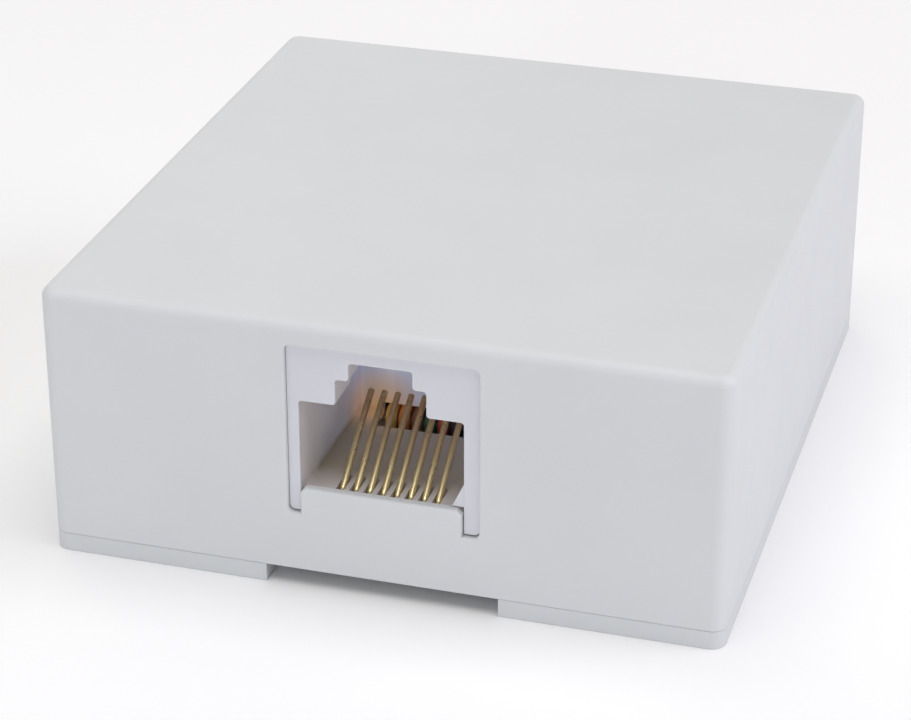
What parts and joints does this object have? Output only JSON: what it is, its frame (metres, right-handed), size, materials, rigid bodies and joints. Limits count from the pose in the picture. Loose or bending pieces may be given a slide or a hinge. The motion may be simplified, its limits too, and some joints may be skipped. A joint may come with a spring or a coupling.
{
  "type": "surface mount modular jack box",
  "caption": "Small surface-mount box: flat base, snap cover with a modular jack in its front wall, and screw terminals with coloured leads inside.",
  "frame": {"origin": "centre of the base's flat mounting face", "axes": "+X to the right seen from the front, +Y to the back, away from the jack, +Z out of the mounting face through the top of the cover"},
  "size_m": [0.05, 0.054, 0.021],
  "materials": {
    "base_plastic": "fine satin moulded ABS",
    "cover_plastic": "fine satin moulded ABS",
    "jack_plastic": "smooth moulded, slightly translucent",
    "carrier_plastic": "satin moulded",
    "contact_gold": "gold plated, bright",
    "lug_tin": "tin plated",
    "washer_nickel": "nickel plated",
    "screw_nickel": "nickel plated",
    "insert_brass": "turned",
    "lead_blue": "satin PVC insulation",
    "lead_slate": "satin PVC insulation",
    "lead_black": "satin PVC insulation",
    "lead_red": "satin PVC insulation",
    "lead_green": "satin PVC insulation",
    "lead_brown": "satin PVC insulation",
    "lead_orange": "satin PVC insulation",
    "lead_yellow": "satin PVC insulation"
  },
  "bodies": {
    "base": {"base": "base_plastic", "jack_housing": "jack_plastic", "contact_carrier": "carrier_plastic", "contact_tails": "contact_gold", "terminal_inserts": "insert_brass", "lead_1": "lead_blue", "lead_2": "lead_slate", "lead_3": "lead_black", "lead_4": "lead_red", "lead_5": "lead_green", "lead_6": "lead_brown", "lead_7": "lead_orange", "lead_8": "lead_yellow", "spade_lug_1": "lug_tin", "spade_lug_2": "lug_tin", "spade_lug_3": "lug_tin", "spade_lug_4": "lug_tin", "spade_lug_5": "lug_tin", "spade_lug_6": "lug_tin", "spade_lug_7": "lug_tin", "spade_lug_8": "lug_tin"},
    "cover": {"cover": "cover_plastic"},
    "contact_1": {"contact_spring_1": "contact_gold"},
    "contact_2": {"contact_spring_2": "contact_gold"},
    "contact_3": {"contact_spring_3": "contact_gold"},
    "contact_4": {"contact_spring_4": "contact_gold"},
    "contact_5": {"contact_spring_5": "contact_gold"},
    "contact_6": {"contact_spring_6": "contact_gold"},
    "contact_7": {"contact_spring_7": "contact_gold"},
    "contact_8": {"contact_spring_8": "contact_gold"},
    "clamp_1": {"clamp_washer_1": "washer_nickel"},
    "screw_1": {"terminal_screw_1": "screw_nickel"},
    "clamp_2": {"clamp_washer_2": "washer_nickel"},
    "screw_2": {"terminal_screw_2": "screw_nickel"},
    "clamp_3": {"clamp_washer_3": "washer_nickel"},
    "screw_3": {"terminal_screw_3": "screw_nickel"},
    "clamp_4": {"clamp_washer_4": "washer_nickel"},
    "screw_4": {"terminal_screw_4": "screw_nickel"},
    "clamp_5": {"clamp_washer_5": "washer_nickel"},
    "screw_5": {"terminal_screw_5": "screw_nickel"},
    "clamp_6": {"clamp_washer_6": "washer_nickel"},
    "screw_6": {"terminal_screw_6": "screw_nickel"},
    "clamp_7": {"clamp_washer_7": "washer_nickel"},
    "screw_7": {"terminal_screw_7": "screw_nickel"},
    "clamp_8": {"clamp_washer_8": "washer_nickel"},
    "screw_8": {"terminal_screw_8": "screw_nickel"}
  },
  "joints": [
    {"name": "cover_tilt", "type": "hinge", "parent": "base", "child": "cover", "pos_m": [0, -0.027, 0.00143], "axis": [1, 0, 0], "range_deg": [0, 80]},
    {"name": "contact_press_1", "type": "hinge", "parent": "base", "child": "contact_1", "pos_m": [0.00374, -0.0241, 0.0067], "axis": [-1, 0, 0], "range_deg": [0, 12], "stiffness_Nm_per_rad": 0.00005},
    {"name": "contact_press_2", "type": "hinge", "parent": "base", "child": "contact_2", "pos_m": [0.00272, -0.0241, 0.0067], "axis": [-1, 0, 0], "range_deg": [0, 12], "stiffness_Nm_per_rad": 0.00005},
    {"name": "contact_press_3", "type": "hinge", "parent": "base", "child": "contact_3", "pos_m": [0.0017, -0.0241, 0.0067], "axis": [-1, 0, 0], "range_deg": [0, 12], "stiffness_Nm_per_rad": 0.00005},
    {"name": "contact_press_4", "type": "hinge", "parent": "base", "child": "contact_4", "pos_m": [0.00069, -0.0241, 0.0067], "axis": [-1, 0, 0], "range_deg": [0, 12], "stiffness_Nm_per_rad": 0.00005},
    {"name": "contact_press_5", "type": "hinge", "parent": "base", "child": "contact_5", "pos_m": [-0.00033, -0.0241, 0.0067], "axis": [-1, 0, 0], "range_deg": [0, 12], "stiffness_Nm_per_rad": 0.00005},
    {"name": "contact_press_6", "type": "hinge", "parent": "base", "child": "contact_6", "pos_m": [-0.00134, -0.0241, 0.0067], "axis": [-1, 0, 0], "range_deg": [0, 12], "stiffness_Nm_per_rad": 0.00005},
    {"name": "contact_press_7", "type": "hinge", "parent": "base", "child": "contact_7", "pos_m": [-0.00236, -0.0241, 0.0067], "axis": [-1, 0, 0], "range_deg": [0, 12], "stiffness_Nm_per_rad": 0.00005},
    {"name": "contact_press_8", "type": "hinge", "parent": "base", "child": "contact_8", "pos_m": [-0.00338, -0.0241, 0.0067], "axis": [-1, 0, 0], "range_deg": [0, 12], "stiffness_Nm_per_rad": 0.00005},
    {"name": "clamp_lift_1", "type": "slide", "parent": "base", "child": "clamp_1", "axis": [0, 0, 1], "range_m": [0, 0.002]},
    {"name": "screw_turn_1", "type": "hinge", "parent": "clamp_1", "child": "screw_1", "pos_m": [0.0175, -0.008, 0.008], "axis": [0, 0, 1], "range_deg": [0, 1441]},
    {"name": "clamp_lift_2", "type": "slide", "parent": "base", "child": "clamp_2", "axis": [0, 0, 1], "range_m": [0, 0.002]},
    {"name": "screw_turn_2", "type": "hinge", "parent": "clamp_2", "child": "screw_2", "pos_m": [0.0175, -0.0004, 0.008], "axis": [0, 0, 1], "range_deg": [0, 1441]},
    {"name": "clamp_lift_3", "type": "slide", "parent": "base", "child": "clamp_3", "axis": [0, 0, 1], "range_m": [0, 0.002]},
    {"name": "screw_turn_3", "type": "hinge", "parent": "clamp_3", "child": "screw_3", "pos_m": [0.0175, 0.0072, 0.008], "axis": [0, 0, 1], "range_deg": [0, 1441]},
    {"name": "clamp_lift_4", "type": "slide", "parent": "base", "child": "clamp_4", "axis": [0, 0, 1], "range_m": [0, 0.002]},
    {"name": "screw_turn_4", "type": "hinge", "parent": "clamp_4", "child": "screw_4", "pos_m": [0.0175, 0.0148, 0.008], "axis": [0, 0, 1], "range_deg": [0, 1441]},
    {"name": "clamp_lift_5", "type": "slide", "parent": "base", "child": "clamp_5", "axis": [0, 0, 1], "range_m": [0, 0.002]},
    {"name": "screw_turn_5", "type": "hinge", "parent": "clamp_5", "child": "screw_5", "pos_m": [-0.0175, 0.0148, 0.008], "axis": [0, 0, 1], "range_deg": [0, 1441]},
    {"name": "clamp_lift_6", "type": "slide", "parent": "base", "child": "clamp_6", "axis": [0, 0, 1], "range_m": [0, 0.002]},
    {"name": "screw_turn_6", "type": "hinge", "parent": "clamp_6", "child": "screw_6", "pos_m": [-0.0175, 0.0072, 0.008], "axis": [0, 0, 1], "range_deg": [0, 1441]},
    {"name": "clamp_lift_7", "type": "slide", "parent": "base", "child": "clamp_7", "axis": [0, 0, 1], "range_m": [0, 0.002]},
    {"name": "screw_turn_7", "type": "hinge", "parent": "clamp_7", "child": "screw_7", "pos_m": [-0.0175, -0.0004, 0.008], "axis": [0, 0, 1], "range_deg": [0, 1441]},
    {"name": "clamp_lift_8", "type": "slide", "parent": "base", "child": "clamp_8", "axis": [0, 0, 1], "range_m": [0, 0.002]},
    {"name": "screw_turn_8", "type": "hinge", "parent": "clamp_8", "child": "screw_8", "pos_m": [-0.0175, -0.008, 0.008], "axis": [0, 0, 1], "range_deg": [0, 1441]}
  ],
  "couplings": [
    {"joint": "contact_press_2", "follows": "contact_press_1", "ratio": 1},
    {"joint": "contact_press_3", "follows": "contact_press_1", "ratio": 1},
    {"joint": "contact_press_4", "follows": "contact_press_1", "ratio": 1},
    {"joint": "contact_press_5", "follows": "contact_press_1", "ratio": 1},
    {"joint": "contact_press_6", "follows": "contact_press_1", "ratio": 1},
    {"joint": "contact_press_7", "follows": "contact_press_1", "ratio": 1},
    {"joint": "contact_press_8", "follows": "contact_press_1", "ratio": 1},
    {"joint": "screw_turn_1", "follows": "clamp_lift_1", "rad_per_m": 12566},
    {"joint": "screw_turn_2", "follows": "clamp_lift_2", "rad_per_m": 12566},
    {"joint": "screw_turn_3", "follows": "clamp_lift_3", "rad_per_m": 12566},
    {"joint": "screw_turn_4", "follows": "clamp_lift_4", "rad_per_m": 12566},
    {"joint": "screw_turn_5", "follows": "clamp_lift_5", "rad_per_m": 12566},
    {"joint": "screw_turn_6", "follows": "clamp_lift_6", "rad_per_m": 12566},
    {"joint": "screw_turn_7", "follows": "clamp_lift_7", "rad_per_m": 12566},
    {"joint": "screw_turn_8", "follows": "clamp_lift_8", "rad_per_m": 12566}
  ]
}
